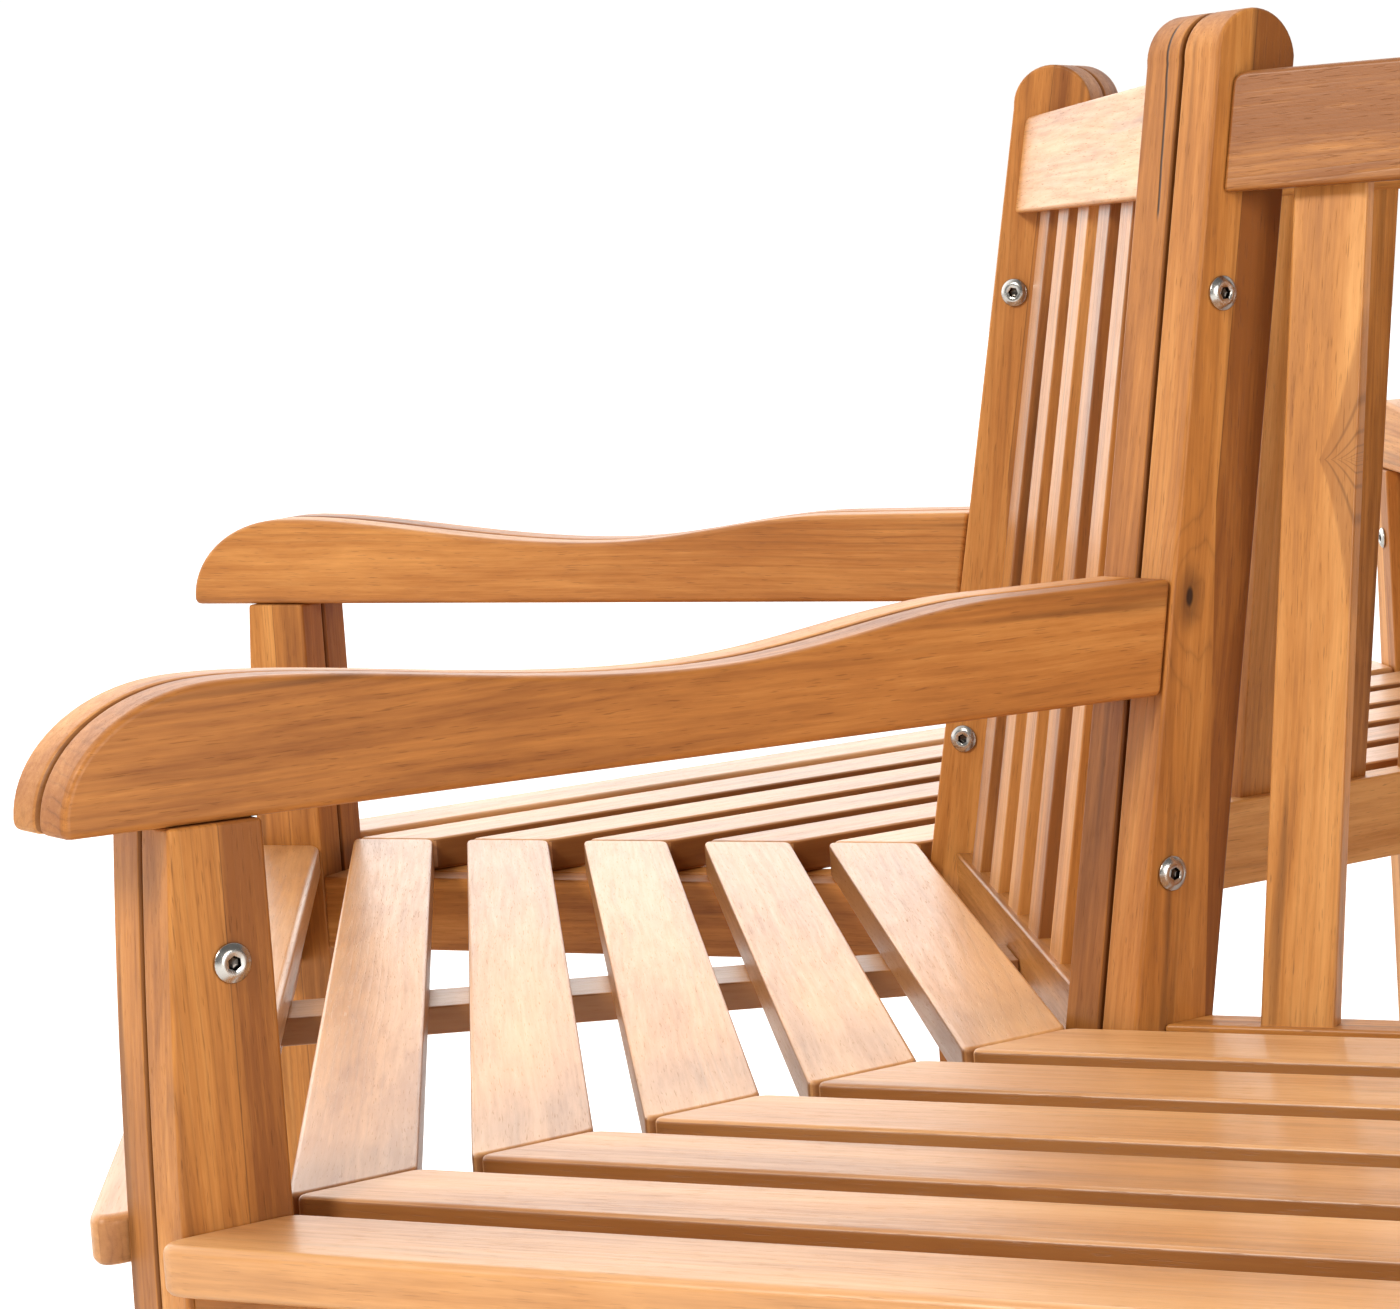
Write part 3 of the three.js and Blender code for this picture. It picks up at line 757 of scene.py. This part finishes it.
def bolt(kind, name, index):
    """A connector bolt and its sleeve nut: a flanged, crowned head with a hexagon socket at each end."""
    r, z = BOLTS[kind]
    seat_y, sides = FRAME_FACE + TOUCH, 48
    top = seat_y + HEAD_HEIGHT
    turned_part, socket = bolt_profile(seat_y), socket_profile(top)
    mesh = bmesh.new()
    socket_shade = mesh.verts.layers.float.new("socket_shade")
    for sign in (1, -1):
        profile = [(radius, sign * along) for radius, along in turned_part + socket]
        rings = lathe_rings(mesh, profile, sides, len(turned_part), socket_shade)
        floor = mesh.verts.new((0, sign * (top - SOCKET_DEPTH - 0.0008), 0))
        # The socket floor gets the same painted shade.
        floor[socket_shade] = 1.0
        for i in range(sides):
            mesh.faces.new((rings[-1][i], rings[-1][(i + 1) % sides], floor))
    bmesh.ops.remove_doubles(mesh, verts=mesh.verts, dist=1e-6)
    bmesh.ops.recalc_face_normals(mesh, faces=mesh.faces)
    for face in mesh.faces:
        face.smooth = True
    place = Matrix.Translation((SIDE + r, 0, SEAT_Z + z)) @ Matrix.Rotation(rng.uniform(0, math.pi), 4, "Y")
    mesh.transform(turned(index) @ Matrix.Rotation(-math.pi / 2 - HALF_TURN, 4, "Z") @ place)
    data = bpy.data.meshes.new(f"connector_{kind}_{name}")
    mesh.to_mesh(data)
    mesh.free()
    data.set_sharp_from_angle(angle=math.radians(40))
    data.materials.append(STEEL)
    show(data.name, data, [f"bolt_{kind}_{name}"])


for number, letter in enumerate(SECTIONS):
    for end in (1, -1):
        end_frame(letter, number, end)
        armrest(letter, number, end)
    seat(letter, number)
    apron(letter, number)
    top_rail(letter, number)
    lower_rail(letter, number)
    back_slats(letter, number)
    for which in BOLTS:
        bolt(which, letter, number)


# ---- studio ----

FLOOR_REACH, FLOOR_LIFT = 30.0, 0.55
AMBIENT, BACKLIGHT, SEEN_WHITE = 0.19, 2.5, 1.05
BACKLIGHT_FROM, BACKLIGHT_FADE, BACKLIGHT_FULL = (-0.72, 0.64, 0.22), -0.1, 0.95
LIGHTS = {
    "key": {"place": (-1.6, -4.7, 3.9), "target": (-0.3, -0.5, 0.5), "size": 1.7, "power": 195,
            "colour": (1.0, 0.95, 0.87)},
    "fill": {"place": (3.9, -3.2, 1.6), "target": (0.0, -0.6, 0.5), "size": 2.4, "power": 128,
             "colour": (1.0, 0.97, 0.93)},
}
CAMERA_PLACE = (0.3636, -2.2033, 0.8154)
CAMERA_YAW, CAMERA_PITCH, CAMERA_ROLL = math.radians(26.773), math.radians(5.940), math.radians(-3.962)
CAMERA_LENS, CAMERA_SENSOR = 97.41, 36.0


def floor_material():
    """Pale and matt, and a little brighter where it is seen directly, as an overlit studio floor is."""
    g = Graph("studio_floor")
    place = g.add("TexCoord").outputs["Object"]
    shade = g.ramp(g.noise(place, 2.0, 2.0), [(0.3, (0.86, 0.86, 0.86)), (0.7, (0.89, 0.89, 0.89))])
    seen = g.add("LightPath").outputs["Is Camera Ray"]
    lift = g.times(seen, FLOOR_LIFT)
    return g.finished(g.add("BsdfPrincipled", {"Base Color": shade, "Roughness": 0.9,
                                               "Specular IOR Level": 0.1,
                                               "Emission Color": (1, 1, 1, 1), "Emission Strength": lift}))


def make_floor():
    mesh = bmesh.new()
    bmesh.ops.create_grid(mesh, x_segments=8, y_segments=8, size=FLOOR_REACH)
    data = bpy.data.meshes.new("studio_floor")
    mesh.to_mesh(data)
    mesh.free()
    data.materials.append(floor_material())
    floor = bpy.data.objects.new("studio_floor", data)
    bpy.context.scene.collection.objects.link(floor)


def area_light(name, place, target, size, power, colour):
    lamp = bpy.data.lights.new(name, "AREA")
    lamp.shape = "DISK"
    lamp.size = size
    lamp.energy = power
    lamp.color = colour
    light = bpy.data.objects.new(name, lamp)
    light.location = place
    light.rotation_euler = (Vector(target) - Vector(place)).to_track_quat("-Z", "Y").to_euler()
    bpy.context.scene.collection.objects.link(light)


def make_world():
    """White where it is seen directly. It lights the bench softly, most of all from behind on the left."""
    world = bpy.data.worlds.new("studio")
    bpy.context.scene.world = world
    world.use_nodes = True
    tree = world.node_tree
    light = tree.nodes["Background"]
    light.inputs[0].default_value = (1.0, 0.99, 0.97, 1)
    facing = tree.nodes.new("ShaderNodeVectorMath")
    facing.operation = "DOT_PRODUCT"
    facing.inputs[1].default_value = Vector(BACKLIGHT_FROM).normalized()
    tree.links.new(tree.nodes.new("ShaderNodeTexCoord").outputs["Generated"], facing.inputs[0])
    soft = tree.nodes.new("ShaderNodeMapRange")
    soft.interpolation_type = "SMOOTHSTEP"
    for slot, value in ((1, BACKLIGHT_FADE), (2, BACKLIGHT_FULL), (3, AMBIENT), (4, BACKLIGHT)):
        soft.inputs[slot].default_value = value
    tree.links.new(facing.outputs["Value"], soft.inputs[0])
    seen = tree.nodes.new("ShaderNodeLightPath").outputs["Is Camera Ray"]
    strength = tree.nodes.new("ShaderNodeMapRange")
    strength.inputs[4].default_value = SEEN_WHITE
    tree.links.new(seen, strength.inputs[0])
    tree.links.new(soft.outputs[0], strength.inputs[3])
    tree.links.new(strength.outputs[0], light.inputs[1])


def make_camera():
    """Stands in front of section a, turned to the left and leaning slightly."""
    yaw, pitch, roll = CAMERA_YAW, CAMERA_PITCH, CAMERA_ROLL
    forward = Vector((-math.sin(yaw) * math.cos(pitch), math.cos(yaw) * math.cos(pitch), -math.sin(pitch)))
    level_right = Vector((math.cos(yaw), math.sin(yaw), 0))
    level_up = level_right.cross(forward)
    right = math.cos(roll) * level_right + math.sin(roll) * level_up
    up = math.cos(roll) * level_up - math.sin(roll) * level_right
    lens = bpy.data.cameras.new("camera")
    lens.sensor_fit = "HORIZONTAL"
    lens.sensor_width = CAMERA_SENSOR
    lens.lens = CAMERA_LENS
    lens.clip_start, lens.clip_end = 0.05, 100
    camera = bpy.data.objects.new("camera", lens)
    facing = Matrix((right, up, -forward)).transposed().to_4x4()
    camera.matrix_world = Matrix.Translation(CAMERA_PLACE) @ facing
    bpy.context.scene.collection.objects.link(camera)
    bpy.context.scene.camera = camera


make_floor()
make_world()
make_camera()
for light_name, settings in LIGHTS.items():
    area_light(light_name, **settings)
bpy.context.scene.view_settings.view_transform = "Standard"
